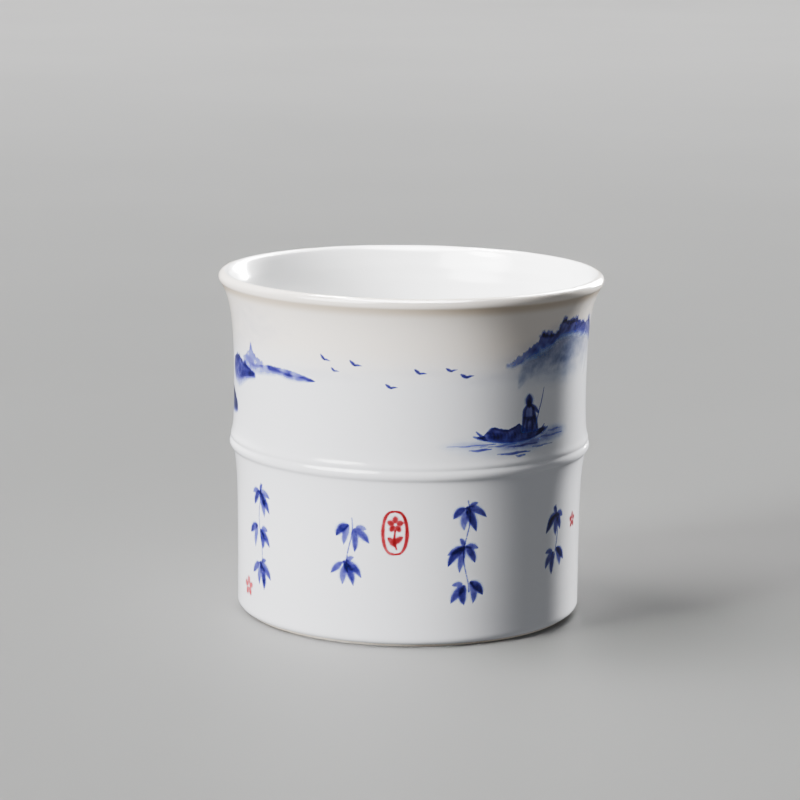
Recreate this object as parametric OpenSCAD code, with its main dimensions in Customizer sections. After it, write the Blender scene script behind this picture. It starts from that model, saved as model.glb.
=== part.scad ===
// Bamboo-node teacup: a handle-less porcelain cup with an everted lip and one raised
// bamboo node at mid height. Fired body, turned foot ring, three glaze coats and the
// painted decoration are separate nodes. Angles run from the front (-Y) towards +X.

/* [Cup] */
// Outer diameter across the lip
mouth_d = 70; // [66:0.5:74]
// Outer diameter of the straight lower wall
wall_d = 62.8; // [60:0.2:63.2]
// Outer diameter at the waist between the node and the lip
waist_d = 64.3; // [63.6:0.1:64.8]
// Bore diameter low down in the cup
bore_d = 57.2; // [54:0.2:57.8]
// Height of the inside floor above the table
floor_z = 5.2; // [4.2:0.1:6]
// Radius of the corner between the bore and the floor
floor_corner_r = 6; // [4:0.5:10]

/* [Lip] */
// Height of the lip above the table
cup_h = 62.4; // [61:0.1:65]
// Radius of the rounded edge of the lip
lip_r = 1.1; // [0.85:0.05:1.1]
// Height over which the outward flare of the lip fades to a third
lip_reach = 4.2; // [3:0.1:5.5]

/* [Bamboo node] */
// Height of the middle of the raised ring
ring_z = 31.05; // [29:0.1:33]
// Radius of the ring's rounded section
ring_r = 1.2; // [1:0.05:1.3]
// How far the ring stands out beyond the waist
ring_proud = 0.8; // [0.5:0.05:1]
// How far the wall swells out just above the ring
node_flare = 0.6; // [0.3:0.05:0.7]
// How far the wall swells out just below the ring
step_flare = 0.8; // [0.4:0.05:0.9]

/* [Foot] */
// Radius of the rounded bottom edge of the wall
corner_r = 1.2; // [1:0.1:1.5]
// Bare height of the foot ring under the glaze
foot_bare_h = 0.45; // [0.3:0.05:0.6]
// Width of the foot ring
foot_w = 3; // [2.5:0.1:4]
// Height of the recess inside the foot ring
recess_h = 1.4; // [1:0.1:1.8]
// Small chamfer on both edges of the foot ring
foot_chamfer = 0.3; // [0.2:0.05:0.4]

/* [Glaze and paint] */
// Thickness of the glaze coats
glaze_t = 0.25; // [0.2:0.01:0.35]
// Thickness of the painted decoration on the glaze
paint_t = 0.08; // [0.06:0.01:0.15]

/* [Decoration] */
// Angle between neighbouring leaf columns
column_pitch = 38; // [36:1:40]
// Length of a painted bamboo leaf
leaf_len = 3.6; // [3:0.1:4.2]
// Height between the leaf tufts of a column
tuft_pitch = 6.7; // [6:0.1:7]

/* [Hidden] */
$fn = 64;

cobalt = [0.13, 0.19, 0.55];
pale_cobalt = [0.45, 0.53, 0.78];
iron_red = [0.76, 0.18, 0.2];
glaze_white = [0.93, 0.94, 0.95];

// Radii and heights of the outside, all on the glaze surface
wall_r = wall_d / 2;
waist_r = waist_d / 2;
lip_c = [mouth_d / 2 - lip_r, cup_h - lip_r];
ring_c = [waist_r + ring_proud - ring_r, ring_z];
lip_under = 46;     // how far under the rounded lip the wall starts, in degrees
lip_leave = 30;     // the same on the inside
lip_low_z = lip_c[1] - lip_r * sin(lip_under);
lip_flare = lip_c[0] + lip_r * cos(lip_under) - waist_r;
ring_top_a = 50;
ring_low_a = -60;
groove_z = ring_z + ring_r * sin(ring_top_a) + 0.25;
step_z = ring_z + ring_r * sin(ring_low_a) - 0.45;
node_reach = 1.8;
step_reach = 4;
foot_z = foot_bare_h + corner_r;

// Bore: a slight draft upwards and the inner side of the lip's flare
bore_draft = 0.0278;
bore_r = bore_d / 2;
lip_in_z = lip_c[1] + lip_r * sin(lip_leave);
bore_reach = 4.8;
bore_flare = lip_c[0] - lip_r * cos(lip_leave) - bore_r - bore_draft * lip_in_z;

// Foot ring
foot_out_r = wall_r - corner_r;
foot_in_r = foot_out_r - foot_w;
body_low_z = recess_h + glaze_t;

function arc(c, r, a0, a1, n) =
    [for (i = [0 : n]) let (a = a0 + (a1 - a0) * i / n) c + r * [cos(a), sin(a)]];
function upper_wall(z) = waist_r + lip_flare * exp((z - lip_low_z) / lip_reach)
    + node_flare * exp((groove_z - z) / node_reach);
function lower_wall(z) = wall_r + step_flare * exp((z - step_z) / step_reach);
function bore(z) = bore_r + bore_draft * z + bore_flare * exp((z - lip_in_z) / bore_reach);
function levels(z0, z1, n) = [for (i = [0 : n]) z0 + (z1 - z0) * i / n];

function lower_rings(t) =
    [for (z = levels(foot_z + 1, step_z, 14)) [lower_wall(z) - t, z]];
function upper_rings(t) =
    [for (z = levels(groove_z, lip_low_z - 0.6, 24)) [upper_wall(z) - t, z]];

// The outside from the bottom edge up to the crest of the lip, set in by t
function outside(t) = concat(
    arc([wall_r - corner_r, foot_z], corner_r - t, -90, 0, 6),
    lower_rings(t),
    arc(ring_c, ring_r - t, ring_low_a, ring_top_a, 10),
    upper_rings(t),
    arc(lip_c, lip_r - t, -lip_under, 90, 9));

// The inside from the crest of the lip down to the middle of the floor, set back by t
function inside(t) = concat(
    arc(lip_c, lip_r - t, 90, 180 - lip_leave, 5),
    [for (z = levels(lip_in_z - 0.6, floor_z + floor_corner_r, 20)) [bore(z) + t, z]],
    arc([bore(floor_z + floor_corner_r) - floor_corner_r, floor_z + floor_corner_r],
        floor_corner_r + t, -8, -90, 8),
    [[0, floor_z - t]]);

function reversed(list) = [for (i = [len(list) - 1 : -1 : 0]) list[i]];

// ---- Fired body and glaze ----

module biscuit_body() {
    color([0.9, 0.88, 0.85]) rotate_extrude()
        polygon(concat([[0, body_low_z], [foot_out_r, body_low_z]],
                       outside(glaze_t), inside(glaze_t)));
}

module foot_ring() {
    color([0.86, 0.82, 0.77]) rotate_extrude()
        polygon([[foot_in_r + foot_chamfer, 0], [foot_out_r - foot_chamfer, 0],
                 [foot_out_r, foot_chamfer], [foot_out_r, body_low_z],
                 [foot_in_r, body_low_z], [foot_in_r, foot_chamfer]]);
}

module outer_glaze() {
    color(glaze_white) rotate_extrude()
        polygon(concat(outside(0), reversed(outside(glaze_t))));
}

module inner_glaze() {
    color(glaze_white) rotate_extrude()
        polygon(concat(inside(0), reversed(inside(glaze_t))));
}

// A disc over the recess that turns down the inner side of the foot ring
module base_glaze() {
    turn_r = 0.5;
    color(glaze_white) rotate_extrude()
        polygon(concat([[0, body_low_z], [0, recess_h]],
                       arc([foot_in_r - glaze_t - turn_r, recess_h - turn_r], turn_r, 90, 0, 5),
                       [[foot_in_r - glaze_t, foot_bare_h + 0.1], [foot_in_r, foot_bare_h],
                        [foot_in_r, body_low_z]]));
}

// ---- Painted decoration ----

// The skin of paint over the whole upper or lower wall, on the same rings as the glaze
module skin(rings) {
    rotate_extrude()
        polygon(concat(rings, [for (p = reversed(rings)) p + [paint_t, 0]]));
}

module upper_skin() { skin(upper_rings(0)); }
module lower_skin() { skin(lower_rings(0)); }

// Stands a flat outline (x across, y up) as a block through the wall at an angle
module stencil(angle, z = 0) {
    rotate([0, 0, angle]) translate([0, -18, z]) rotate([90, 0, 0])
        linear_extrude(height = 20) children();
}

// A pointed brush stroke between two pointed ends: two arcs of a circle
module stroke(len, width) {
    r = (len * len + width * width) / (4 * width);
    intersection() {
        translate([0, width / 2 - r]) circle(r);
        translate([0, r - width / 2]) circle(r);
    }
}

// A long thin stroke, straight along x, whose sides bow out to its full width
module reed(len, width) {
    ts = levels(-1, 1, 8);
    polygon(concat([for (t = ts) [t * len / 2, (1 - t * t) * width / 2]],
                   [for (i = [7 : -1 : 1]) [ts[i] * len / 2, (ts[i] * ts[i] - 1) * width / 2]]));
}

// A mountain: rounded peaks, each [x, height, half width], over a foot that sags to `sag`
function peak(x, p) = p[1] * exp(-pow((x - p[0]) / p[2], 2));
function ridge(x, peaks) = max([for (p = peaks) peak(x, p)]);
module mountain(x0, x1, peaks, sag, n = 28) {
    xs = levels(x0, x1, n);
    polygon(concat([for (x = xs) [x, 0.3 + ridge(x, peaks)]],
                   [for (x = reversed(xs)) [x, sag * (x - x0) * (x - x1) / pow((x1 - x0) / 2, 2)]]));
}

module left_headland() {
    color(pale_cobalt) intersection() {
        upper_skin();
        stencil(-56, 47.6)
            mountain(-12.4, 13.2,
                     [[-11, 2.6, 2.6], [-3, 4.2, 2.2], [2, 2, 3.4], [9, 0.7, 3.6]], 0.7);
    }
}

module shore_rock() {
    color(cobalt) intersection() {
        upper_skin();
        stencil(-88, 40)
            mountain(-6, 6, [[-3, 1.4, 2.4], [2.6, 2.2, 2.2]], 0.6, 16);
    }
}

module right_mountain() {
    color(cobalt) intersection() {
        upper_skin();
        stencil(62, 49)
            mountain(-16.5, 16.5, [[-12, 1.5, 3.4], [-5.5, 5, 4.4], [2, 7.6, 4.6],
                                   [8, 6.2, 3.4], [13.5, 4, 3]], 3.4);
    }
}

module back_range() {
    color(pale_cobalt) intersection() {
        upper_skin();
        stencil(172, 48)
            mountain(-19, 19, [[-15, 2.4, 3.4], [-9, 5.4, 4], [-2, 8.2, 4.4],
                               [5, 6, 3.6], [11, 3.6, 3.2], [16, 1.8, 3]], 2.6, 36);
    }
}

// Flying birds: [angle, height, size], each a short thick wing and a long thin one
flock = [[-27.2, 50.9, 1], [-23.8, 49, 0.75], [-17, 50.3, 1.1], [-5.7, 46.6, 1],
         [3.1, 49.2, 1.05], [12.8, 49.6, 0.95], [17.8, 48.4, 1.15]];
module birds() {
    color(cobalt) intersection() {
        upper_skin();
        for (b = flock) stencil(b[0], b[1]) scale(b[2]) {
            translate([-0.45, 0.2]) rotate(-38) reed(1.1, 0.3);
            translate([0.5, 0.05]) rotate(8) reed(1.5, 0.26);
        }
    }
}

// Boat, boatman and pole share one place on the wall
boat_a = 34.4;
waterline = 36.6;
// Side view of a sampan with a low covered load forward and a raised stern
hull_outline = [[-8, 1.2], [-6.4, 0.2], [-3.6, -0.5], [0, -0.8], [3.6, -0.6], [6.4, 0.1],
                [8, 1.5], [6, 1.1], [2.6, 1.1], [1.6, 1.9], [-0.4, 1.2], [-2.6, 1.7],
                [-4.2, 1.6], [-5.4, 0.8], [-7.4, 1.8], [-6.6, 0.9]];

module boat() {
    color(cobalt) intersection() {
        upper_skin();
        stencil(boat_a, waterline) {
            polygon(hull_outline);
        }
    }
}

// A plain standing figure in a wide hat and a long coat
module boatman() {
    color(cobalt) intersection() {
        upper_skin();
        stencil(boat_a, waterline) {
            polygon([[2.7, 1.15], [5, 1.15], [4.8, 4], [4.2, 5.4], [3.4, 5.4], [2.8, 4]]);
            polygon([[2.8, 5.5], [4.8, 5.5], [3.8, 7.2]]);
        }
    }
}

module punt_pole() {
    color(cobalt) intersection() {
        upper_skin();
        stencil(boat_a, waterline) translate([6, 5.2]) rotate(74) reed(7.2, 0.26);
    }
}

// Ripples: [angle, height, length, width]
ripples = [[15.5, 35.9, 6, 0.4], [24, 35, 5, 0.5], [35, 34.1, 7, 0.55], [46, 35.2, 6, 0.45]];
module water_strokes() {
    color(pale_cobalt) intersection() {
        upper_skin();
        for (w = ripples) stencil(w[0], w[1]) reed(w[2], w[3]);
    }
}

// One tuft of bamboo: leaves hanging in a fan from a common point
module tuft(fan) {
    for (a = fan) rotate(a) translate([leaf_len / 2 + 0.2, 0]) stroke(leaf_len, 0.85);
}

// A column of two or three tufts hung on a thin upright stem
first_column = -57;
column_z = 16.6;
module leaf_column(i) {
    tufts = 3 - i % 2;
    top = (tufts - 1) / 2 * tuft_pitch;
    fan = [for (a = [-156, -118, -78, -30]) a + 12 * sin(137 * i)];
    color(cobalt) intersection() {
        lower_skin();
        stencil(first_column + i * column_pitch, column_z) {
            translate([-0.14, -top - 2.6]) square([0.28, 2 * top + 5.6]);
            for (k = [0 : tufts - 1])
                translate([0, top - k * tuft_pitch + 2]) mirror([k % 2, 0]) tuft(fan);
        }
    }
}

// An upright oval frame with a blossom and two leaves on a stem in it
module leaf_cartouche() {
    color(iron_red) intersection() {
        lower_skin();
        stencil(-4.2, 20.75) {
            difference() {
                oval(4.6, 8.1);
                oval(3.9, 7.4);
            }
            translate([-0.15, -2.8]) square([0.3, 3.2]);
            for (a = [48, 132]) translate([0, -2.2]) rotate(a) translate([1, 0]) stroke(2.2, 0.8);
            translate([0, 1.4]) petals(1);
        }
    }
}

// Upright shape with half-round ends
module oval(w, h) {
    square([w, h - w], center = true);
    for (s = [-1, 1]) translate([0, s * (h - w) / 2]) circle(w / 2);
}

// Five round petals about a centre
module petals(size) {
    for (k = [0 : 4]) rotate(72 * k + 18) translate([0.55 * size, 0]) circle(0.4 * size);
    circle(0.25 * size);
}

module blossom(angle, z, size) {
    color(iron_red) intersection() {
        lower_skin();
        stencil(angle, z) petals(size);
    }
}

biscuit_body();
foot_ring();
outer_glaze();
inner_glaze();
base_glaze();
left_headland();
shore_rock();
right_mountain();
back_range();
birds();
boat();
boatman();
punt_pole();
water_strokes();
leaf_column(0);  // leaf_column_1
leaf_column(1);  // leaf_column_2
leaf_column(2);  // leaf_column_3
leaf_column(3);  // leaf_column_4
leaf_column(4);  // leaf_column_5
leaf_column(5);  // leaf_column_6
leaf_column(6);  // leaf_column_7
leaf_column(7);  // leaf_column_8
leaf_column(8);  // leaf_column_9
leaf_cartouche();
blossom(-66, 6.3, 1.3);  // left_blossom
blossom(70, 18.9, 1.1);  // right_blossom
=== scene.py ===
"""The looks of the bamboo-node teacup: glazed porcelain, bare foot and brushed decoration.

The turned surfaces follow the CAD model's own outline. The paint is laid on the glaze in
wall coordinates: x is the distance round the wall and y the height, both in millimetres,
from a place given by its angle from the front (-Y) towards +X and its height.
"""

import math
import random
from bisect import bisect

import bpy
from mathutils import Matrix, Vector, noise


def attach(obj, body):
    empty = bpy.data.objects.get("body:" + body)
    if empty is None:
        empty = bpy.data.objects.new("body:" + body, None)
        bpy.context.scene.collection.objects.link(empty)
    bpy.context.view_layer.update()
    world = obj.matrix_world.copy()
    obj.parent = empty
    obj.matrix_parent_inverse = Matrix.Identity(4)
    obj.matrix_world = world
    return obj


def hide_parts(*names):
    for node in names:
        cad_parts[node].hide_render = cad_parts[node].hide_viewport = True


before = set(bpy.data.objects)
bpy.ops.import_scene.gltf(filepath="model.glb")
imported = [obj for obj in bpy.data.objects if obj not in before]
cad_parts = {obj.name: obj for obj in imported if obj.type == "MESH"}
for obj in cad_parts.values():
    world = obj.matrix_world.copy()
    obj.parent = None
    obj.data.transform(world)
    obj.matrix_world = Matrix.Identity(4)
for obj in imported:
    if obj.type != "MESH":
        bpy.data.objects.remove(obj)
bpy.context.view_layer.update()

MM = 0.001
SEGMENTS = 256          # facets round the turned pieces
OUTSIDE_STEP = 0.25 * MM            # between points up the outside's curve
BACK_SKIP = 6           # a coat's hidden back has one point for this many on its face
SHARP = math.radians(40)            # a turned edge that bends more than this stays sharp
GLAZE_T = 0.25 * MM     # thickness of a glaze coat
RING_Z = 31 * MM        # height of the bamboo node ring's middle
RING_REACH = 4 * MM     # how far from it the glaze rounds off corners
RING_BLUR = 0.3 * MM    # how much it rounds them
WHITE = (0.81, 0.806, 0.825)        # colour of the glazed body outside
WARM_REFLECTION = (0.88, 0.80, 0.715)         # colour of a painted warm reflection on the glaze below the lip
CREASE_SHADE = (0.62, 0.51, 0.39)         # colour of the painted shade on the line right under the lip's round edge
WHITE_INSIDE = (0.83, 0.83, 0.828)
# A faint warm tint painted inside under the lip, where the outside has its painted reflection and
# shade
LIP_INSIDE_PAINTED_TINT = (0.83, 0.825, 0.82)
WARM_REFLECTION_Z = (46 * MM, 54 * MM)        # the painted warm reflection starts at the first height and is full at the other
CREASE_SHADE_Z = (58.6 * MM, 60.2 * MM)   # the same for the painted shade under the lip
CREASE_SHADE_END_Z = (60.4 * MM, 61.1 * MM)       # the painted shade under the lip thins out and is gone
LIFT = 0.012 * MM       # height of each layer of paint over the one under it
INK_MAX = 1.4           # the deepest that pigment gets
INK_MIN = 0.004         # less than this leaves no mark
# From the middle of a brush stroke outwards: (place, share of the ink), where 1 is the
# brush's own edge. The ink bleeds a little way into the glaze past it.
BLEED = ((0.0, 1.0), (0.6, 0.92), (0.85, 0.4), (1.1, 0.1), (1.5, 0.0))


# ---- Outlines and turned pieces ------------------------------------------------------

def outline(node, side):
    """(radius, height) points up a turned node's surface that faces out (1) or in (-1).

    Level faces belong to neither side.
    """
    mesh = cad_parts[node].data
    points = set()
    for face in mesh.polygons:
        centre = face.center
        away = Vector((centre.x, centre.y)).normalized()
        if side * (face.normal.x * away.x + face.normal.y * away.y) > 0.02:
            for i in face.vertices:
                co = mesh.vertices[i].co
                points.add((round(math.hypot(co.x, co.y), 6), round(co.z, 6)))
    return sorted(points, key=lambda p: p[1])


def smoothed(points, steps):
    """A smooth curve through the points: a centripetal Catmull-Rom spline."""
    points = [Vector(p) for p in points]
    ends = [2 * points[0] - points[1]] + points + [2 * points[-1] - points[-2]]
    curve = []
    for p0, p1, p2, p3 in zip(ends, ends[1:], ends[2:], ends[3:]):
        t1 = (p1 - p0).length ** 0.5
        t2 = t1 + (p2 - p1).length ** 0.5
        t3 = t2 + (p3 - p2).length ** 0.5
        for k in range(steps):
            t = t1 + (t2 - t1) * k / steps
            a1 = p0 + (p1 - p0) * (t / t1)
            a2 = p1 + (p2 - p1) * ((t - t1) / (t2 - t1))
            a3 = p2 + (p3 - p2) * ((t - t2) / (t3 - t2))
            b1 = a1 + (a2 - a1) * (t / t2)
            b2 = a2 + (a3 - a2) * ((t - t1) / (t3 - t1))
            curve.append(b1 + (b2 - b1) * ((t - t1) / (t2 - t1)))
    return curve + [points[-1]]


def evenly(curve, step):
    """Points of the curve that are `step` apart along it, and its last point."""
    points = [curve[0]]
    left = step
    for a, b in zip(curve, curve[1:]):
        length = (b - a).length
        while left <= length:
            points.append(a + (b - a) * (left / length))
            left += step
        left -= length
    return points + [curve[-1]]


def softened(curve, middle, reach, blur):
    """The curve with its corners rounded off over `blur`, within `reach` of a height."""
    rounded = []
    for here in curve:
        share = 1 - soft(abs(here[1] - middle), 0.6 * reach, reach)
        near = [q for q in curve if (q - here).length < 3 * blur]
        weights = [math.exp(-((q - here).length / blur) ** 2) for q in near]
        mean = sum((q * w for q, w in zip(near, weights)), Vector((0.0, 0.0))) / sum(weights)
        rounded.append(here.lerp(mean, share))
    return rounded


def turn(name, points, material, node):
    """A piece turned about the axis from (radius, height) points, in place of a CAD node."""
    verts = []
    faces = []
    rows = []
    for r, z in points:
        if r < 1e-6:
            rows.append([len(verts)])
            verts.append((0, 0, z))
            continue
        rows.append([len(verts) + i for i in range(SEGMENTS)])
        for i in range(SEGMENTS):
            a = 2 * math.pi * i / SEGMENTS
            verts.append((r * math.cos(a), r * math.sin(a), z))
    for low, high in zip(rows, rows[1:] + rows[:1]):
        for i in range(SEGMENTS):
            j = (i + 1) % SEGMENTS
            ring = [low[i % len(low)], low[j % len(low)], high[j % len(high)], high[i % len(high)]]
            face = list(dict.fromkeys(ring))
            if len(face) > 2:
                faces.append(face)
    piece = new_piece(name, verts, faces, material)
    piece.data.set_sharp_from_angle(angle=SHARP)
    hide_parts(node)


def new_piece(name, verts, faces, material):
    """A smooth-shaded mesh object that rides on the cup."""
    mesh = bpy.data.meshes.new(name)
    mesh.from_pydata(verts, [], faces)
    mesh.validate()
    mesh.shade_smooth()
    mesh.materials.append(material)
    piece = bpy.data.objects.new(name, mesh)
    bpy.context.scene.collection.objects.link(piece)
    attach(piece, "root")
    return piece


# ---- Materials -------------------------------------------------------------------------

class Nodes:
    """A new material's node tree, with short calls for the nodes used here."""

    def __init__(self, name):
        self.material = bpy.data.materials.new(name)
        self.material.use_nodes = True
        self.tree = self.material.node_tree
        self.tree.nodes.clear()
        self.shader = self.add("ShaderNodeBsdfPrincipled")
        out = self.add("ShaderNodeOutputMaterial")
        self.link(self.shader.outputs["BSDF"], out.inputs["Surface"])
        self.coords = self.add("ShaderNodeTexCoord").outputs["Object"]

    def add(self, kind, **settings):
        node = self.tree.nodes.new(kind)
        for key, value in settings.items():
            setattr(node, key, value)
        return node

    def link(self, source, target):
        self.tree.links.new(source, target)

    def set(self, **values):
        """Sets the shader's own sockets; a name's underscores stand for spaces."""
        for key, value in values.items():
            self.shader.inputs[key.replace("_", " ")].default_value = value

    def noise(self, size, detail=3.0, roughness=0.5, stretch=(1, 1, 1)):
        """Noise whose features are about `size` millimetres across."""
        mapping = self.add("ShaderNodeMapping")
        mapping.inputs["Scale"].default_value = [s / (size * MM) for s in stretch]
        self.link(self.coords, mapping.inputs["Vector"])
        texture = self.add("ShaderNodeTexNoise")
        texture.inputs["Scale"].default_value = 1.0
        texture.inputs["Detail"].default_value = detail
        texture.inputs["Roughness"].default_value = roughness
        self.link(mapping.outputs["Vector"], texture.inputs["Vector"])
        return texture.outputs["Fac"]

    def math(self, kind, a, b=None, clamp=False):
        """Arithmetic on one or two values, each an output or a number."""
        node = self.add("ShaderNodeMath", operation=kind, use_clamp=clamp)
        for socket, value in zip(node.inputs, (a, b)):
            if value is None:
                continue
            if isinstance(value, (int, float)):
                socket.default_value = value
            else:
                self.link(value, socket)
        return node.outputs["Value"]

    def spread(self, value, low, high, to_low=0.0, to_high=1.0):
        """Maps low..high to to_low..to_high with a smooth start and end."""
        node = self.add("ShaderNodeMapRange", interpolation_type="SMOOTHSTEP")
        node.inputs["From Min"].default_value = low
        node.inputs["From Max"].default_value = high
        node.inputs["To Min"].default_value = to_low
        node.inputs["To Max"].default_value = to_high
        self.link(value, node.inputs["Value"])
        return node.outputs["Result"]

    def ramp(self, value, stops):
        """A colour ramp with (position, (r, g, b)) stops."""
        node = self.add("ShaderNodeValToRGB")
        elements = node.color_ramp.elements
        while len(elements) < len(stops):
            elements.new(0.5)
        for element, (position, colour) in zip(elements, stops):
            element.position = position
            element.color = (*colour, 1)
        self.link(value, node.inputs["Fac"])
        return node.outputs["Color"]

    def mix(self, factor, first, second):
        """A colour output mixed with a second colour by a factor output."""
        node = self.add("ShaderNodeMix", data_type="RGBA")
        self.link(factor, node.inputs["Factor"])
        self.link(first, node.inputs["A"])
        node.inputs["B"].default_value = (*second, 1)
        return node.outputs["Result"]

    def bump(self, heights):
        """Chains bump nodes for (height output, depth in millimetres) pairs."""
        normal = None
        for height, depth in heights:
            node = self.add("ShaderNodeBump")
            node.inputs["Strength"].default_value = 1.0
            node.inputs["Distance"].default_value = depth * MM
            self.link(height, node.inputs["Height"])
            if normal is not None:
                self.link(normal, node.inputs["Normal"])
            normal = node.outputs["Normal"]
        self.link(normal, self.shader.inputs["Normal"])


def glaze_gloss(n, roughness, ior):
    """The gloss and gentle waviness of the clear glaze, shared by porcelain and paint."""
    n.set(IOR=ior)
    n.link(n.spread(n.noise(9.0), 0.3, 0.7, roughness - 0.02, roughness + 0.02),
           n.shader.inputs["Roughness"])
    n.bump([(n.noise(14.0, 1.0), 0.03), (n.noise(2.2, 2.0), 0.0012)])


def porcelain(name, tone, lip_reflection_colour, crease_shade_colour, roughness):
    """White body under clear glaze, its tone a little cloudy on a large scale.

    Of the colours given after tone, the first is a painted warm reflection below the lip,
    and the second is painted shade on the line right under the lip's round edge.
    """
    n = Nodes(name)
    cloud = n.spread(n.noise(22.0, 4.0), 0.25, 0.75)
    cool = [c * k for c, k in zip(tone, (0.97, 0.975, 0.99))]
    body = n.ramp(cloud, [(0.0, cool), (1.0, tone)])
    height = n.add("ShaderNodeSeparateXYZ")
    n.link(n.coords, height.inputs["Vector"])
    z = height.outputs["Z"]
    # Painted warm reflection on the wall below the lip
    warm = n.mix(n.spread(z, *WARM_REFLECTION_Z), body, lip_reflection_colour)
    # Painted shade on the line right under the lip's round edge
    painted_shade_mask = n.math("MULTIPLY", n.spread(z, *CREASE_SHADE_Z), n.spread(z, *CREASE_SHADE_END_Z, 1.0, 0.0))
    n.link(n.mix(painted_shade_mask, warm, crease_shade_colour), n.shader.inputs["Base Color"])
    n.set(Subsurface_Weight=0.15, Subsurface_Radius=(0.0016, 0.0014, 0.0012),
          Subsurface_Scale=1.0)
    glaze_gloss(n, roughness, 1.5)
    return n.material


def bare_clay(name):
    """Fired, ground porcelain without glaze: warm, matt and finely grained."""
    n = Nodes(name)
    grain = n.noise(0.35, 5.0, 0.7)
    patches = n.noise(6.0, 3.0)
    mixed = n.math("ADD", n.math("MULTIPLY", grain, 0.5), n.math("MULTIPLY", patches, 0.5))
    n.link(n.ramp(mixed, [(0.35, (0.50, 0.42, 0.33)), (0.5, (0.66, 0.59, 0.50)),
                          (0.68, (0.74, 0.69, 0.61))]), n.shader.inputs["Base Color"])
    n.link(n.spread(grain, 0.3, 0.7, 0.62, 0.85), n.shader.inputs["Roughness"])
    n.bump([(grain, 0.03), (n.noise(0.9, 2.0, stretch=(1, 1, 6)), 0.03)])
    return n.material


def pigment(name, absorb, onset):
    """Brushed pigment over the white body: the more "ink" on the mesh, the deeper it is.

    absorb is how strongly full ink takes up red, green and blue, and onset the power of
    the ink by which it does, so that a thin wash can be a purer blue than a thick one.
    """
    n = Nodes(name)
    ink = n.add("ShaderNodeAttribute", attribute_name="ink").outputs["Fac"]
    grain = n.noise(0.25, 3.0, 0.6)
    pool = n.noise(1.3, 3.0, 0.55)
    uneven = n.math("ADD", n.math("MULTIPLY", grain, 0.4), n.math("MULTIPLY", pool, 0.6))
    density = n.math("MULTIPLY", ink, n.spread(uneven, 0.3, 0.7, 0.75, 1.2))
    # The pigment lets through what Beer's law leaves of the white, and the film's colour
    # is what gives that tone together with the white that shows through its alpha
    stops = []
    strongest = max(absorb)
    for share in (0.02, 0.06, 0.12, 0.22, 0.36, 0.55, 0.78, 1.0):
        depth = share * INK_MAX
        covered = 1 - math.exp(-strongest * depth)
        stops.append((share, [w * (math.exp(-a * depth ** p) - 1 + covered) / covered
                              for w, a, p in zip(WHITE, absorb, onset)]))
    n.link(n.ramp(n.math("DIVIDE", density, INK_MAX), stops), n.shader.inputs["Base Color"])
    clear = n.math("EXPONENT", n.math("MULTIPLY", density, -strongest))
    n.link(n.math("SUBTRACT", 1.0, clear, clamp=True), n.shader.inputs["Alpha"])
    # A little less gloss than the bare glaze, so that dark ink stays dark
    glaze_gloss(n, 0.09, 1.42)
    return n.material


# ---- Paint -----------------------------------------------------------------------------

class Wall:
    """The glazed outside, for laying paint on it, from (radius, height) points up it."""

    def __init__(self, curve):
        self.radii = [p[0] for p in curve]
        self.heights = [p[1] for p in curve]

    def radius(self, z):
        i = min(max(bisect(self.heights, z), 1), len(self.heights) - 1)
        low, high = self.heights[i - 1], self.heights[i]
        part = (z - low) / max(high - low, 1e-9)
        return self.radii[i - 1] + (self.radii[i] - self.radii[i - 1]) * part

    def point(self, angle, z, lift):
        r = self.radius(z) + lift
        return (r * math.sin(angle), -r * math.cos(angle), z)


def soft(value, low, high):
    """0 below low, 1 above high and a smooth rise between them."""
    t = min(1.0, max(0.0, (value - low) / (high - low)))
    return t * t * (3 - 2 * t)


def bleed(place):
    """The share of a stroke's ink at a place across it."""
    for (near, more), (far, less) in zip(BLEED, BLEED[1:]):
        if place <= far:
            return more + (less - more) * (place - near) / (far - near)
    return 0.0


def profile(points):
    """A smooth height for any x, from (x, y) points in order of x."""
    curve = smoothed(points, 8)
    xs = [p[0] for p in curve]

    def height(x):
        i = min(max(bisect(xs, x), 1), len(xs) - 1)
        low, high = curve[i - 1], curve[i]
        part = min(1.0, max(0.0, (x - low[0]) / max(high[0] - low[0], 1e-9)))
        return low[1] + (high[1] - low[1]) * part
    return height


def land(top, bottom, rim=0.0, rim_width=0.3, body=0.4, foot=0.1, rough=0.12, seed=0.0):
    """The ink of a hill or bank between two outlines, as a function of x and y.

    A dark rim follows the top, and the body's ink fades to the foot's at the bottom.
    """
    upper, lower = profile(top), profile(bottom)
    left, right = top[0][0], top[-1][0]

    def ink(x, y):
        if not left < x < right:
            return 0.0
        crest = upper(x) + rough * noise.noise((2.1 * x, seed, 0.3))
        crest += 0.5 * rough * noise.noise((6.3 * x, seed, 5.3))
        depth = crest - y
        share = depth / max(crest - lower(x), 0.05)
        if depth < -0.2 or share > 1.3:
            return 0.0
        wet = 0.85 + 0.5 * noise.noise((0.8 * x, 0.8 * y, seed))
        fill = body + (foot - body) * min(1.0, share)
        edge = rim * math.exp(-max(depth, 0.0) / rim_width) * (
            0.75 + 0.6 * noise.noise((0.7 * x, seed, 9.1)))
        ends = soft(x, left, left + 0.8) * (1 - soft(x, right - 0.8, right))
        return (fill * wet * (1 - soft(share, 0.6, 1.15)) + edge) * soft(depth, -0.12, 0.14) * ends
    return ink


def mist(cx, cy, rx, ry, amount, seed=0.0):
    """The ink of a soft cloud of thin wash round a centre."""
    def ink(x, y):
        away = math.hypot((x - cx) / rx, (y - cy) / ry)
        if away > 1.25:
            return 0.0
        uneven = 0.8 + 0.7 * noise.noise((0.35 * x, 0.8 * y, seed))
        return amount * uneven * (1 - soft(away, 0.0, 1.0))
    return ink


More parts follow.
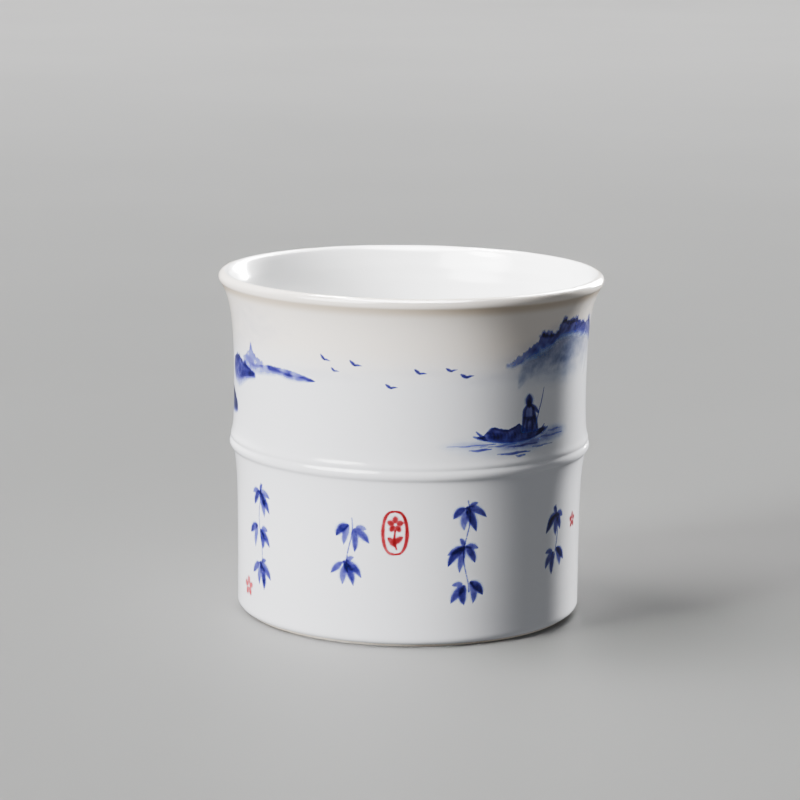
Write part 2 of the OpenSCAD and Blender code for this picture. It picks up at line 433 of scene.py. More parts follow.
class Paint:
    """One painted piece: ink gathered on a fine grid that is laid on the wall.

    angle (degrees) and height (millimetres) place its middle, pitch is the size of a cell,
    and layer its place in the order of pieces that overlap: 1 lies lowest.
    """

    def __init__(self, node, material, slot, angle, height, pitch=0.11, layer=2):
        self.node = node
        self.material = material
        self.slot = slot
        self.angle = math.radians(angle)
        self.height = height
        self.reach = wall.radius(height * MM) / MM
        self.pitch = pitch
        self.lift = layer * LIFT
        self.ink = {}           # how much ink is at each (column, row)
        self.strokes = 0

    def add(self, cells):
        for cell, amount in cells.items():
            self.ink[cell] = self.ink.get(cell, 0.0) + amount

    def wash(self, x0, x1, y0, y1, inks):
        """Washes within a rectangle of the wall, given as ink functions of x and y."""
        cells = {}
        for i in range(math.ceil(x0 / self.pitch), math.floor(x1 / self.pitch) + 1):
            for j in range(math.ceil(y0 / self.pitch), math.floor(y1 / self.pitch) + 1):
                x, y = i * self.pitch, j * self.pitch
                amount = sum(ink(x, y) for ink in inks)
                if amount > 0:
                    cells[i, j] = amount
        self.add(cells)

    def stroke(self, path, width, ink=1.0, start=0.0, belly=0.4, end=0.0, ragged=0.1):
        """A brush stroke along a smooth path through (x, y) points.

        width is the full width at the belly, `belly` of the way along, and start and end
        are the shares of it that the two ends keep.
        """
        self.strokes += 1
        seed = 0.37 * self.strokes + 0.01 * self.height
        steps = 6 if len(path) > 2 else 8
        line = smoothed(path, steps)
        marks = []
        for i, centre in enumerate(line):
            t = i / (len(line) - 1)
            if t < belly:
                share = start + (1 - start) * math.sin(math.pi / 2 * t / belly)
            else:
                share = end + (1 - end) * math.cos(math.pi / 2 * (t - belly) / (1 - belly))
            half = (width / 2 * share + 0.03) * (1 + ragged * noise.noise((6 * t, 9.1 * seed, 0)))
            marks.append((centre, half, ink * (0.92 + 0.25 * noise.noise((3 * t, seed, 7.7)))))
        cells = {}
        for (a, half_a, tone_a), (b, half_b, tone_b) in zip(marks, marks[1:]):
            self.draw_segment(cells, a, b, half_a, half_b, tone_a, tone_b)
        self.add(cells)

    def draw_segment(self, cells, a, b, half_a, half_b, tone_a, tone_b):
        """Raises the cells near a short straight piece of a stroke to its ink."""
        reach = BLEED[-1][0] * max(half_a, half_b)
        ahead = b - a
        length_squared = max(ahead.length_squared, 1e-9)
        for i in range(math.ceil((min(a[0], b[0]) - reach) / self.pitch),
                       math.floor((max(a[0], b[0]) + reach) / self.pitch) + 1):
            for j in range(math.ceil((min(a[1], b[1]) - reach) / self.pitch),
                           math.floor((max(a[1], b[1]) + reach) / self.pitch) + 1):
                away = Vector((i * self.pitch, j * self.pitch)) - a
                t = min(1.0, max(0.0, away.dot(ahead) / length_squared))
                half = half_a + (half_b - half_a) * t
                place = (away - ahead * t).length / half
                if place < BLEED[-1][0]:
                    amount = (tone_a + (tone_b - tone_a) * t) * bleed(place)
                    cells[i, j] = max(cells.get((i, j), 0.0), amount)

    def finish(self):
        """Makes the piece, in place of its CAD node if it has one."""
        inked = {cell for cell, amount in self.ink.items() if amount > INK_MIN}
        squares = {(i + di, j + dj) for i, j in inked for di in (-1, 0) for dj in (-1, 0)}
        index = {}
        verts = []
        faces = []
        for i, j in sorted(squares):
            face = []
            for corner in ((i, j), (i + 1, j), (i + 1, j + 1), (i, j + 1)):
                if corner not in index:
                    index[corner] = len(verts)
                    x, y = corner[0] * self.pitch, corner[1] * self.pitch
                    verts.append(wall.point(self.angle + x / self.reach,
                                            (self.height + y) * MM, self.lift))
                face.append(index[corner])
            faces.append(face)
        piece = new_piece("painted_" + self.node, verts, faces, self.material)
        attribute = piece.data.attributes.new("ink", "FLOAT", "POINT")
        attribute.data.foreach_set("value", [min(self.ink.get(c, 0.0), INK_MAX) for c in index])
        # Paint is part of the wall: it casts no shadow on the glaze and isn't mirrored in it
        piece.visible_shadow = False
        piece.visible_diffuse = False
        piece.visible_glossy = False
        if self.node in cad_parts:
            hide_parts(self.node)


# ---- The cup ---------------------------------------------------------------------------

def back_of(curve):
    """The hidden back of a glaze coat, from the end of its face's curve to the start."""
    back = []
    for before, here, after in zip([curve[0], *curve], curve, [*curve[1:], curve[-1]]):
        along = (after - before).normalized()
        back.append(here + Vector((-along[1], along[0])) * GLAZE_T)
    return back[:0:-BACK_SKIP] + [back[0]]


# Both coats get painted tints under the lip: a warm reflection and shade outside, a faint warm
# tint inside
white = porcelain("porcelain_outside", WHITE, WARM_REFLECTION, CREASE_SHADE, roughness=0.12)
white_inside = porcelain("porcelain_inside", WHITE_INSIDE, LIP_INSIDE_PAINTED_TINT, LIP_INSIDE_PAINTED_TINT, roughness=0.16)
clay = bare_clay("bare_clay")

# The glaze rounds off the corners above and below the ring
outside = evenly(smoothed(outline("outer_glaze", 1), 6), OUTSIDE_STEP)
outside = softened(outside, RING_Z, RING_REACH, RING_BLUR)
wall = Wall(outside)
turn("glaze_outside", outside + back_of(outside), white, "outer_glaze")

# The inside's curve runs down from the lip, and the floor's two faces close it on the axis
inside = smoothed(outline("inner_glaze", -1)[::-1], 3)
floor_mid = Vector((0, outline("inner_glaze", -1)[0][1]))
turn("glaze_inside", inside + [floor_mid, floor_mid - Vector((0, GLAZE_T))] + back_of(inside),
     white_inside, "inner_glaze")

for node, material in (("biscuit_body", clay), ("foot_ring", clay), ("base_glaze", white)):
    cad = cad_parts[node]
    cad.data.materials.clear()
    cad.data.materials.append(material)

# ---- The decoration --------------------------------------------------------------------

def paint_left_headland():
    """A pale far peak, a wooded bank and a low spit running out to the right."""
    p = Paint("left_headland", blue, "pale_cobalt", -56, 47.6)
    peak = land(
        [(-6.8, 0.6), (-4.8, 1.7), (-3.5, 2.6), (-2.8, 4.0), (-2.0, 2.4), (-0.4, 1.4), (1.8, 0.8)],
        [(-6.8, -1.6), (-2, -0.6), (1.8, 0.0)],
        body=0.55, foot=0.5, rough=0.3, seed=1.0)
    bank = land(
        [(-14, -2.4), (-12.9, -0.4), (-11.4, 0.3), (-9, 0.6), (-6.4, -0.2), (-3.8, -0.7),
         (-1.0, -1.7)],
        [(-14, -2.7), (-12.6, -4.2), (-9, -4.8), (-7, -4.2), (-4, -3.0), (-1.0, -2.3)],
        rim=0.35, rim_width=0.9, body=0.95, foot=0.85, rough=0.35, seed=2.0)
    neck = land(
        [(-4, 0.4), (-1, 0.1), (1, 0.3), (3.6, 0.7), (5.6, 0.6)],
        [(-4, -1.8), (0, -1.5), (5.6, -1.0)],
        body=0.42, foot=0.36, rough=0.2, seed=3.0)
    spit = land(
        [(2.4, 0.6), (5, 0.6), (8.8, 0.4), (10.8, 0.1), (12.8, -0.4), (14.4, -0.8)],
        [(2.4, -0.2), (6, -0.9), (9, -1.3), (12, -1.3), (14.4, -1.0)],
        rim=0.12, body=0.62, foot=0.64, seed=4.0)
    p.wash(-14.2, 14.8, -5.6, 5.4, [peak, bank, neck, spit])
    p.stroke([(4.6, 0.3), (7.0, -0.3), (10.2, -0.5)], 0.6, 0.3, ragged=0.3)
    p.stroke([(10.8, -0.4), (12.6, -0.65), (14.2, -0.9)], 0.6, 0.6, belly=0.5)
    p.stroke([(-8.4, -3.0), (-5.4, -2.1), (-1.8, -2.0)], 1.3, 0.4, start=0.4, ragged=0.4)
    for x, y in ((-12, -0.6), (-10.8, 0.3), (-9.4, 0.2), (-7.8, -0.4), (-6, -0.5), (-4.6, -1.1),
                 (-11.4, -1.6), (-8.8, -2.2)):
        p.stroke([(x, y), (x + 0.6, y + 0.4)], 0.9, 0.4, start=0.5, end=0.4, ragged=0.5)
    p.finish()


def paint_shore_rock():
    """A dark rock in the water, well round to the left."""
    p = Paint("shore_rock", blue, "cobalt", -88, 40)
    rock = land([(-6.4, -0.4), (-3.4, 1.3), (-1, 0.4), (2.2, 1.7), (5, 0.9), (8.1, -1.0)],
                [(-6.4, -1.0), (0, -2.0), (5, -2.9), (8.1, -2.3)],
                rim=0.4, rim_width=0.6, body=1.5, foot=1.5, rough=0.3, seed=6.0)
    p.wash(-6.6, 8.4, -3.4, 2.6, [rock])
    for x, y in ((2.2, 1.0), (3.2, 0.7), (4.2, 0.2), (5.6, -0.4), (6.6, -1.2), (-3.4, 0.6)):
        p.stroke([(x, y + 0.4), (x + 0.3, y - 0.6)], 0.9, 0.5, start=0.5, end=0.5, ragged=0.5)
    p.finish()


def paint_trees(p, ridge, spots, ink, draw):
    """Clumps of leaf dabs standing along a ridge: each spot is (x, height, number)."""
    for x, tall, number in spots:
        for _ in range(number):
            at = x + draw.gauss(0, 0.7)
            up = ridge(at) + draw.uniform(-0.5, tall)
            lean = draw.uniform(-0.2, 0.3)
            p.stroke([(at - 0.16, up - 0.05), (at + 0.2, up + lean)], draw.uniform(0.5, 0.85),
                     ink * draw.uniform(0.7, 1.1), start=0.6, end=0.5, ragged=0.4)


MOUNTAIN = (62, 49)     # angle and height of the mountain's own place
# The under side of its dark band
BROW = [(-17.8, 0.4), (-14.9, 0.6), (-12.6, 1.5), (-10.9, 2.1), (-7.6, 3.2), (-4.8, 4.4),
        (-0.5, 4.6), (6, 3.8), (11, 2.0), (16.8, 0.2)]


def paint_right_mountain():
    """A dark ridge that climbs to the right, with clumps of trees along it."""
    p = Paint("right_mountain", blue, "cobalt", *MOUNTAIN)
    crest = [(-17.8, 0.9), (-15, 2.2), (-12.8, 3.5), (-11, 4.3), (-9.8, 5.8), (-7.8, 5.6),
             (-5.8, 5.6), (-4.3, 7.8), (-2.2, 7.3), (-0.4, 7.5), (2.4, 6.8), (5.4, 6.0),
             (8.2, 6.4), (11, 4.8), (14, 3.0), (16.8, 1.0)]
    slope = land(crest, BROW, rim=0.15, rim_width=1.0, body=0.78, foot=0.55, rough=0.4, seed=12.0)
    # Its left end is thinner
    p.wash(-18.2, 17.2, -0.6, 9, [lambda x, y: slope(x, y) * (0.3 + 0.7 * soft(x, -17, -6))])
    ridge = profile(crest)
    # Short strokes slant down the slope
    draw = random.Random(7)
    for k in range(24):
        x = -15 + 1.3 * k
        y = ridge(x) - draw.uniform(0.3, 1.4)
        run = draw.uniform(1.2, 2.4)
        p.stroke([(x, y), (x - 0.45 * run, y - 0.45 * run), (x - run, y - 0.8 * run)],
                 draw.uniform(0.5, 1.0), draw.uniform(0.08, 0.26), start=0.4, belly=0.4,
                 ragged=0.4)
    paint_trees(p, ridge, ((-9.4, 0.4, 14), (-7.8, 0.3, 12), (-4.4, 0.4, 14), (-2.2, 0.4, 12),
                           (0.4, 0.4, 10), (8.4, 0.6, 14), (4.4, 0.4, 10)), 0.22, draw)
    p.finish()


def paint_haze():
    """Grey-blue mist by the headland, under the birds, on the mountain's slopes and behind."""
    p = Paint("haze", grey, "pale_cobalt", 0, MOUNTAIN[1], pitch=0.35, layer=1)
    p.wash(-46, 50, -8.4, 10, [
        mist(-34, 6.0, 15, 6.0, 0.12, 61.0), mist(-40, 1.0, 9, 6.0, 0.08, 62.0),
        mist(-16, -0.8, 14, 1.4, 0.08, 63.0), mist(1, 0.2, 15, 1.2, 0.05, 64.0),
        mist(13, -1.2, 9, 1.8, 0.07, 65.0), mist(24, 0.5, 11, 5.5, 0.16, 66.0),
        mist(32, 1.6, 13, 7.0, 0.62, 67.0)])
    p.wash(76, 118, -8.4, 8, [mist(90, -1.5, 13, 4.0, 0.16, 68.0),
                              mist(104, -1.0, 13, 4.4, 0.16, 69.0)])
    # Soft strokes that slant down from the mountain's dark band
    middle = math.radians(MOUNTAIN[0]) * p.reach
    under = profile(BROW)
    draw = random.Random(5)
    for k in range(24):
        x = -11 + 0.98 * k
        y = under(x) + 0.4
        run = draw.uniform(3.0, 6.5)
        p.stroke([(middle + x, y), (middle + x - 0.4 * run, y - 0.45 * run),
                  (middle + x - 0.75 * run, y - run)], draw.uniform(2.0, 3.6),
                 draw.uniform(0.08, 0.2), start=0.7, belly=0.3, ragged=0.3)
    p.finish()


def paint_back_range():
    """Pale peaks behind a nearer ridge, on the far side of the cup."""
    p = Paint("back_range", blue, "pale_cobalt", 172, 48)
    far = [(-19, 0.4), (-15, 2.4), (-12.4, 1.6), (-9, 5.6), (-6, 3.6), (-2, 8.0), (1.4, 5.0),
           (5, 6.2), (8, 3.2), (11, 3.8), (14.4, 1.4), (19, 0.3)]
    near = [(-17, -0.6), (-11, 0.8), (-6, 2.6), (-1, 1.4), (4, 2.2), (9, 0.6), (16.6, -0.8)]
    p.wash(-19.4, 19.4, -3.4, 9.2, [
        land(far, [(-19, -0.6), (-8, -1.6), (6, -1.6), (19, -0.6)],
             rim=0.25, rim_width=0.35, body=0.34, foot=0.02, rough=0.3, seed=21.0),
        land(near, [(-17, -1.2), (0, -2.4), (16.6, -1.4)],
             rim=0.4, body=0.42, rough=0.3, seed=22.0)])
    ridge = profile(near)
    draw = random.Random(19)
    for k in range(16):
        x = -14 + k * 1.9
        y = ridge(x) - 0.2
        p.stroke([(x, y), (x - 0.5, y - 0.8), (x - 1.3, y - 1.4)], 0.5, 0.22, start=0.5,
                 belly=0.3, ragged=0.3)
    paint_trees(p, ridge, ((-6, 0.8, 16), (4.2, 0.7, 14), (9.6, 0.5, 8), (-11, 0.5, 8)), 0.35,
                draw)
    p.finish()


# Each bird's angle and height on the wall, size, and tilt in degrees
BIRDS = ((-27.2, 50.9, 1.0, -14), (-23.8, 49.0, 0.75, -6), (-17.0, 50.3, 1.1, -6),
         (-5.7, 46.6, 1.0, 2), (3.1, 49.2, 1.05, -4), (12.8, 49.6, 0.95, 8),
         (17.8, 48.4, 1.15, 8))
# Its two wings, as points about the bird
THICK_WING = ((-0.95, 0.55), (-0.5, 0.2), (-0.05, -0.1))
THIN_WING = ((-0.15, -0.1), (0.35, 0.02), (1.1, 0.0))


def paint_birds():
    """Flying birds, each a short thick wing and a long thin one."""
    p = Paint("birds", blue, "cobalt", 0, 49, pitch=0.07)
    for angle, height, size, tilt in BIRDS:
        place = Vector((math.radians(angle) * p.reach, height - p.height))
        turned = Matrix.Rotation(math.radians(tilt), 2) * size
        thick, thin = ([place + turned @ Vector(point) for point in wing]
                       for wing in (THICK_WING, THIN_WING))
        p.stroke(thick, 0.48 * size, 1.1, start=0.4, belly=0.55, end=0.5)
        p.stroke(thin, 0.36 * size, 0.85, start=0.5, belly=0.3)
    p.finish()


BOAT = (34.4, 36.6)     # angle and height of the waterline under the boat's middle


def paint_boat():
    """A sampan in side view: forked bow, low covered load, raised stern."""
    p = Paint("boat", blue, "cobalt", *BOAT, pitch=0.08, layer=3)
    deck = [(-7.6, 1.2), (-6.4, 1.1), (-5.2, 1.9), (-4.2, 2.5), (-2.8, 2.2), (-1.4, 1.9),
            (0.2, 2.3), (1.2, 2.7), (2.2, 2.0), (4.6, 1.3), (6.4, 1.4), (7.9, 1.7)]
    keel = [(-7.6, 1.0), (-5.6, 0.3), (-3.4, -0.2), (-0.4, -0.5), (3.0, -0.4), (5.8, 0.2),
            (7.9, 1.3)]
    p.wash(-8.4, 8.4, -1.2, 3.4, [land(deck, keel, rim=0.25, body=0.9, foot=1.1, seed=31.0)])
    for path, width, ink in (
            ([(-8.0, 1.15), (-6.8, 0.75), (-5.4, 0.4)], 0.6, 0.55),
            ([(5.2, 0.35), (6.8, 0.75), (8.2, 1.4)], 0.6, 0.55),
            ([(-6.0, 0.35), (-3.4, 0.0), (-0.4, -0.25), (3.0, -0.15), (5.8, 0.35)], 0.6, 0.3),
            ([(-7.5, 2.0), (-6.8, 1.4), (-5.8, 0.9)], 0.4, 0.75),
            ([(7.3, 2.0), (6.6, 1.3), (5.6, 0.8)], 0.34, 0.7),
            ([(-5.6, 1.6), (-4.6, 2.4), (-3.2, 2.1), (-1.4, 1.7), (0.2, 2.2), (1.2, 2.7)],
             0.44, 0.4)):
        p.stroke(path, width, ink, start=0.4, belly=0.5, end=0.3)
    # Planks
    for k in range(15):
        x = -5.0 + 0.72 * k
        p.stroke([(x, 1.7 - 0.04 * k), (x + 0.3, 1.0), (x + 0.3, 0.2)], 0.3, 0.2, start=0.4)
    p.finish()


def paint_boatman():
    """A plain standing figure in a pointed hat and a long coat, turned to the bow."""
    p = Paint("boatman", blue, "cobalt", *BOAT, pitch=0.08, layer=4)
    coat = land([(1.8, 2.4), (2.3, 4.6), (3.1, 5.9), (4.0, 5.8), (4.8, 4.8), (5.7, 2.6)],
                [(1.8, -0.8), (5.7, -0.8)], rim=0.1, body=0.34, foot=0.9, rough=0.1, seed=41.0)
    p.wash(1.2, 6.8, 1.0, 7.0, [coat])
    # The hat, then the neck, the coat's front, an arm, the coat's back, the belt and two folds
    p.stroke([(3.35, 7.7), (3.35, 7.0), (3.4, 6.3)], 1.7, 1.0, start=0.1, belly=0.8, end=0.5)
    for path, width, ink in (
            ([(3.4, 6.5), (3.4, 5.5)], 1.0, 0.7),
            ([(3.1, 5.9), (2.4, 5.0), (2.25, 3.8), (1.95, 1.3)], 0.8, 0.8),
            ([(3.7, 5.9), (4.7, 5.2), (5.7, 4.3)], 0.8, 0.8),
            ([(4.3, 5.2), (4.6, 3.8), (5.1, 2.6), (5.5, 1.3)], 0.8, 0.75),
            ([(2.2, 3.7), (3.6, 3.35), (4.8, 3.7)], 0.8, 0.6),
            ([(3.2, 3.3), (2.9, 2.3), (3.0, 1.2)], 0.6, 0.5),
            ([(4.1, 3.3), (4.3, 2.3), (4.2, 1.2)], 0.6, 0.5)):
        p.stroke(path, width, ink, start=0.45, belly=0.5, end=0.45)
    p.finish()


def paint_punt_pole():
    """A long thin pole that leans back over the stern."""
    p = Paint("punt_pole", blue, "cobalt", *BOAT, pitch=0.08, layer=5)
    p.stroke([(5.0, 1.75), (5.7, 4.2), (6.4, 6.2), (7.0, 8.6)], 0.2, 0.55, start=0.6, belly=0.3,
             end=0.3)
    p.finish()


def paint_water():
    """Thin washes and ripple strokes round the boat."""
    p = Paint("water_strokes", blue, "pale_cobalt", *BOAT, pitch=0.14)
    p.wash(-17, 16, -5.4, 3.4, [mist(-1, -0.6, 15, 2.8, 0.14, 51.0),
                                mist(3, -0.8, 8, 1.5, 0.34, 52.0),
                                mist(10, 0.2, 5.5, 1.8, 0.32, 53.0),
                                mist(-9.5, -0.4, 6, 1.0, 0.16, 54.0)])
    for x0, x1, y, width, ink in ((-13.6, -3.6, -0.45, 0.2, 0.42), (-9.0, -4.4, -1.3, 0.42, 0.7),
                                  (-3.4, 3.8, -2.35, 0.42, 0.62), (-1.6, 5.6, -1.15, 0.3, 0.5),
                                  (0.4, 2.6, -2.9, 0.34, 0.5), (-6.8, 2.4, -0.8, 0.26, 0.4),
                                  (6.4, 13.4, -0.2, 0.3, 0.28), (8.0, 12.2, 0.7, 0.3, 0.22),
                                  (3.8, 9.6, -1.7, 0.24, 0.3)):
        middle = (x0 + x1) / 2
        p.stroke([(x0, y + 0.1), (middle - 0.6, y - 0.06), (middle + 0.8, y + 0.06), (x1, y)],
                 width, ink, belly=0.45, ragged=0.3)
    p.finish()


COLUMNS = 9             # columns of leaves round the lower wall
COLUMN_FIRST = -57      # the first one's angle, in degrees
COLUMN_PITCH = 38       # the angle from one to the next
COLUMN_HEIGHT = 16.6    # the height of their middles
TUFT_PITCH = 6.7        # from one tuft of leaves to the next down a column
# The leaves of each kind of tuft, (x, y, angle, length, width, ink), about its middle
TUFTS = (
    ((0.3, 1.5, -158, 2.9, 0.85, 0.55), (0.2, 1.4, -128, 3.7, 1.05, 0.95),
     (0.3, 1.3, -100, 3.6, 1.0, 0.65), (0.5, 1.5, -62, 3.0, 0.95, 0.9),
     (0.5, 1.6, -20, 1.9, 0.75, 0.55), (0.1, 1.6, 118, 1.3, 0.6, 0.65)),
    ((-0.6, 1.8, -138, 2.9, 0.95, 0.95), (-0.5, 1.7, -108, 3.3, 1.0, 0.55),
     (0.4, 1.1, -82, 3.2, 1.0, 0.9), (0.6, 1.2, -48, 3.2, 1.0, 0.75),
     (0.9, 1.5, -8, 1.7, 0.7, 0.55)),
    ((0.4, 1.9, -146, 3.6, 1.0, 0.8), (0.4, 1.8, -112, 4.0, 1.05, 0.95),
     (0.2, 1.2, -84, 3.0, 0.95, 0.55), (0.6, 1.7, -36, 2.6, 0.9, 0.85),
     (-0.2, 2.0, 160, 1.4, 0.6, 0.6)),
)


def paint_leaf(p, x, y, angle, length, width, ink, draw):
    """One leaf from (x, y): it swells, arches over and ends in a fine tip."""
    a = math.radians(angle)
    arch = math.copysign(draw.uniform(0.03, 0.14), math.cos(a))
    along, across = (math.cos(a), math.sin(a)), (-math.sin(a), math.cos(a))
    path = [(x + length * (t * along[0] + s * arch * across[0]),
             y + length * (t * along[1] + s * arch * across[1]))
            for t, s in ((0.0, 0.0), (0.35, 0.8), (0.7, 0.7), (1.0, 0.0))]
    p.stroke(path, width, ink * draw.uniform(1.0, 1.25), start=0.15, belly=0.38)


def paint_tuft(p, x, y, leaves, draw, flip):
    """A fan of leaves that hang from one place, as drawn or mirrored."""
    for lx, ly, angle, length, width, ink in leaves:
        lean = angle + draw.uniform(-9, 9)
        paint_leaf(p, x + flip * lx, y + ly, lean if flip > 0 else 180 - lean,
                   length * draw.uniform(1.05, 1.3), width * draw.uniform(1.3, 1.65), ink, draw)


def paint_leaf_column(i):
    """Two or three tufts of bamboo leaves on a thin jointed stem that sways a little."""
    tufts = 3 - i % 2
    p = Paint(f"leaf_column_{i + 1}", blue, "cobalt", COLUMN_FIRST + COLUMN_PITCH * i,
              COLUMN_HEIGHT)
    draw = random.Random(100 + i)
    top = (tufts - 1) / 2 * TUFT_PITCH

    def sway(y):
        return 0.55 * math.sin(2 * math.pi * (y - top) / (2 * TUFT_PITCH) + 0.8 * i)
    knots = [top + 3.2 - k * TUFT_PITCH / 2 for k in range(2 * tufts)]
    for high, low in zip(knots, knots[1:]):
        heights = [high - 0.14, (high + low) / 2, low + 0.14]
        p.stroke([(sway(y), y) for y in heights], 0.24, 0.5, start=0.9, belly=0.5, end=0.9)
    for k in range(tufts):
        y = top - k * TUFT_PITCH
        paint_tuft(p, sway(y + 1.5) - 0.2, y, TUFTS[(i + k) % 3], draw, 1 if (i + k) % 2 else -1)
    p.finish()


def paint_petals(p, x, y, size, ink):
    """Five round petals about (x, y), each one dab of the brush."""
    for k in range(5):
        a = math.radians(72 * k + 90)
        p.stroke([(x + reach * size * math.cos(a), y + reach * size * math.sin(a))
                  for reach in (0.32, 0.95)], 0.8 * size, ink, start=0.3, belly=0.65, end=0.7,
                 ragged=0.2)


def paint_cartouche():
    """A red upright oval frame, brushed in two strokes, round a blossom and two leaves."""
    p = Paint("leaf_cartouche", red, "iron_red", -4.2, 20.75, pitch=0.08)
    wide, tall = 2.12, 3.85         # half the frame's width and height
    for side, ink in ((-1, 1.15), (1, 1.25)):
        path = [(side * wide * math.sin(a) ** 0.7, -tall * math.cos(a))
                for a in (0.02, 0.35, 0.8, 1.25, 1.6, 2.0, 2.4, 2.8, 3.12)]
        p.stroke(path, 0.62, ink, start=0.6, belly=0.5, end=0.6, ragged=0.25)
    # The blossom's stem, its leaves and its petals
    p.stroke([(0.3, -2.9), (-0.1, -1.6), (0.05, 0.5)], 0.42, 1.1, start=0.8, end=0.7)
    draw = random.Random(3)
    paint_leaf(p, 0.1, -2.4, 132, 2.1, 1.15, 1.1, draw)
    paint_leaf(p, 0.0, -1.9, 40, 1.9, 1.1, 1.1, draw)
    paint_petals(p, 0.05, 1.5, 1.25, 1.15)
    p.finish()


def paint_blossom(node, angle, height, size, ink):
    """A small pale red blossom."""
    p = Paint(node, red, "iron_red", angle, height, pitch=0.08)
    paint_petals(p, 0, 0, size, ink)
    p.finish()


blue = pigment("cobalt_pigment", absorb=(4.1, 4.4, 2.1), onset=(1.0, 1.12, 1.25))
red = pigment("iron_red_pigment", absorb=(1.25, 4.0, 3.7), onset=(1.0, 1.0, 1.0))
grey = pigment("thin_grey_blue", absorb=(1.9, 1.65, 1.0), onset=(1.0, 1.0, 1.0))
paint_haze()
paint_left_headland()
paint_shore_rock()
paint_right_mountain()
paint_back_range()
paint_birds()
paint_boat()
paint_boatman()
paint_punt_pole()
paint_water()
for column in range(COLUMNS):
    paint_leaf_column(column)
paint_cartouche()
paint_blossom("left_blossom", -66, 6.3, size=1.5, ink=0.7)
paint_blossom("right_blossom", 70, 18.9, size=1.2, ink=0.9)

# ---- Stage -----------------------------------------------------------------------------

LIGHTS_AIM = Vector((0, 0, 0.035))      # the place in the cup that lights are aimed at
LENS = 136.2            # millimetres, for a sensor 36 mm wide
CAMERA = (0, -0.545, 0.1412)
CAMERA_DOWN = 10.68     # how far the camera looks down, in degrees
CAMERA_LEFT = 0.19      # how far it looks to the left
CAMERA_ROLL = 0.68      # how far it leans


def studio_floor():
    """A pale floor that neither shines on the cup nor is mirrored in it."""
    mesh = bpy.data.meshes.new("studio_floor")
    size = 6.0
    mesh.from_pydata([(-size, -size, 0), (size, -size, 0), (size, size, 0), (-size, size, 0)],
                     [], [(0, 1, 2, 3)])
    n = Nodes("pale_floor")
    n.link(n.ramp(n.noise(160.0), [(0.3, (0.165, 0.163, 0.16)), (0.7, (0.18, 0.178, 0.175))]),
           n.shader.inputs["Base Color"])
    n.set(Roughness=0.6)
    mesh.materials.append(n.material)
    floor = bpy.data.objects.new("studio_floor", mesh)
    bpy.context.scene.collection.objects.link(floor)
    floor.visible_diffuse = False
    floor.visible_glossy = False
    return floor


def new_light(name, kind, azimuth, elevation, distance=0.0):
    """A light that shines on the cup; azimuth is from -Y towards +X."""
    data = bpy.data.lights.new(name, kind)
    light = bpy.data.objects.new(name, data)
    a, e = math.radians(azimuth), math.radians(elevation)
    back = Vector((math.sin(a) * math.cos(e), -math.cos(a) * math.cos(e), math.sin(e)))
    light.location = LIGHTS_AIM + back * distance
    light.rotation_euler = back.to_track_quat("Z", "Y").to_euler()
    bpy.context.scene.collection.objects.link(light)
    return light


def far_light(name, azimuth, elevation, width, strength):
    """A far soft light: `width` is how many degrees of the sky it fills."""
    light = new_light(name, "SUN", azimuth, elevation)
    light.data.angle = math.radians(width)
    light.data.energy = strength
    return light


def panel_light(name, azimuth, elevation, distance, size, watts, beam=180):
    """An oval light near the cup that spreads over `beam` degrees."""
    light = new_light(name, "AREA", azimuth, elevation, distance)
    light.data.shape = "ELLIPSE"
    light.data.size, light.data.size_y = size
    light.data.energy = watts
    light.data.spread = math.radians(beam)
    return light


def light_only(light, piece, state):
    """Makes a light shine on one piece alone ("INCLUDE") or on all but it ("EXCLUDE")."""
    group = bpy.data.collections.new(light.name + "_link")
    group.objects.link(piece)
    group.collection_objects[0].light_linking.link_state = state
    light.light_linking.receiver_collection = group


def window_light(name, azimuth, elevation, size, watts):
    """A light that only shows as a reflection in the glaze of the cup."""
    light = panel_light(name, azimuth, elevation, distance=1.3, size=size, watts=watts)
    light.visible_diffuse = False
    return light


def backdrop_light():
    """Lights the floor far behind the cup from a wide panel over it."""
    light = panel_light("backdrop", 180, 90, distance=1.3, size=(3.2, 1.8), watts=40, beam=100)
    # It hangs behind the cup and faces straight down
    light.location = (0, 1.8, 1.3)
    light.rotation_euler = (0, 0, 0)


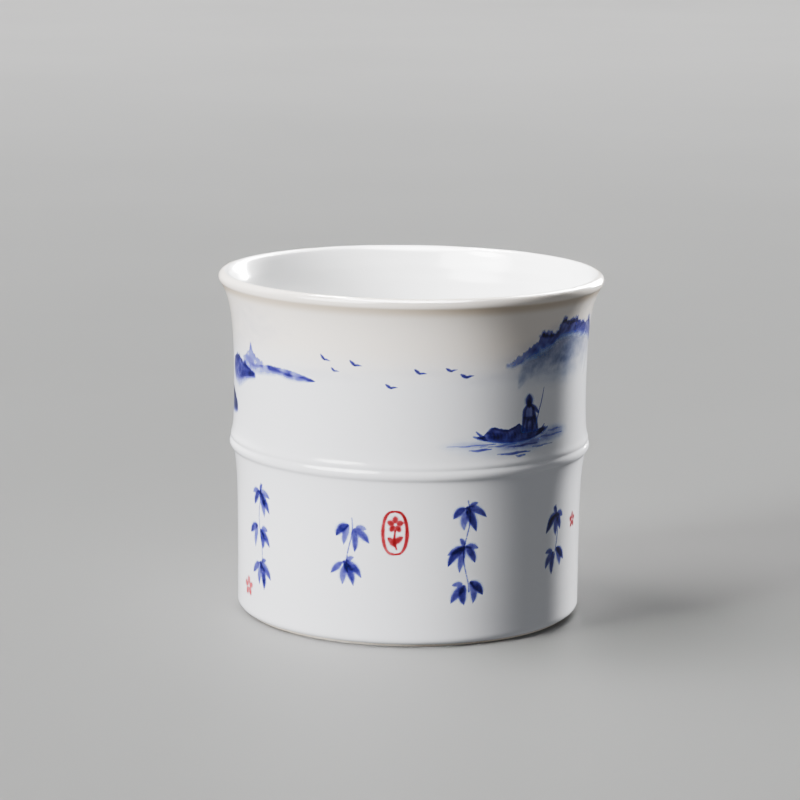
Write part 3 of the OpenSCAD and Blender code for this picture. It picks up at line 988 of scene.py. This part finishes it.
def set_world():
    """A dim even light from all round, which the camera sees as a pale backdrop."""
    world = bpy.data.worlds.new("studio")
    bpy.context.scene.world = world
    world.use_nodes = True
    nodes = world.node_tree.nodes
    links = world.node_tree.links
    background = nodes["Background"]
    background.inputs["Color"].default_value = (0.80, 0.82, 0.85, 1)
    path = nodes.new("ShaderNodeLightPath")
    level = nodes.new("ShaderNodeMapRange")
    level.inputs["To Min"].default_value = 0.25     # as it lights the cup
    level.inputs["To Max"].default_value = 1.1      # as the camera sees it
    links.new(path.outputs["Is Camera Ray"], level.inputs["Value"])
    links.new(level.outputs["Result"], background.inputs["Strength"])


def set_camera():
    """A long lens in front of the cup, a little above it, leaning very slightly."""
    data = bpy.data.cameras.new("camera")
    data.lens = LENS
    data.sensor_width = 36.0
    camera = bpy.data.objects.new("camera", data)
    place = Matrix.Translation(CAMERA)
    turned = Matrix.Rotation(math.radians(CAMERA_LEFT), 4, "Z")
    tilted = Matrix.Rotation(math.radians(90 - CAMERA_DOWN), 4, "X")
    rolled = Matrix.Rotation(math.radians(CAMERA_ROLL), 4, "Z")
    camera.matrix_world = place @ turned @ tilted @ rolled
    bpy.context.scene.collection.objects.link(camera)
    bpy.context.scene.camera = camera


floor = studio_floor()

# The light from the front left, and a strong one from behind on the right
key = far_light("key", -58, 19, width=22, strength=12)
key.visible_glossy = False
back_light = far_light("back_right", 147, 11, width=12, strength=24)

# Reflections in the glaze: at the left, at the right edge, and on the lip and the ring
window = window_light("window", -48, 32, size=(1.1, 0.9), watts=130)
right_window = window_light("right_window", 152, 25, size=(0.5, 1.3), watts=230)
top_window = window_light("top_window", -10, 75, size=(1.2, 1.2), watts=400)

# Light in the mouth of the cup
mouth_light = panel_light("mouth_light", -62, 46, distance=0.6, size=(0.2, 0.2), watts=12)
light_only(mouth_light, bpy.data.objects["glaze_inside"], "INCLUDE")
mouth_beam = panel_light("mouth_beam", -150, 60, distance=0.6, size=(0.12, 0.12), watts=0.25,
                         beam=14)

for light in (back_light, window, right_window, top_window, mouth_beam):
    light_only(light, floor, "EXCLUDE")

# The key also lights the floor, with a soft light from the left and the backdrop light
floor_light = far_light("floor_light", -100, 55, width=40, strength=8)
light_only(floor_light, floor, "INCLUDE")
backdrop_light()

set_world()
set_camera()
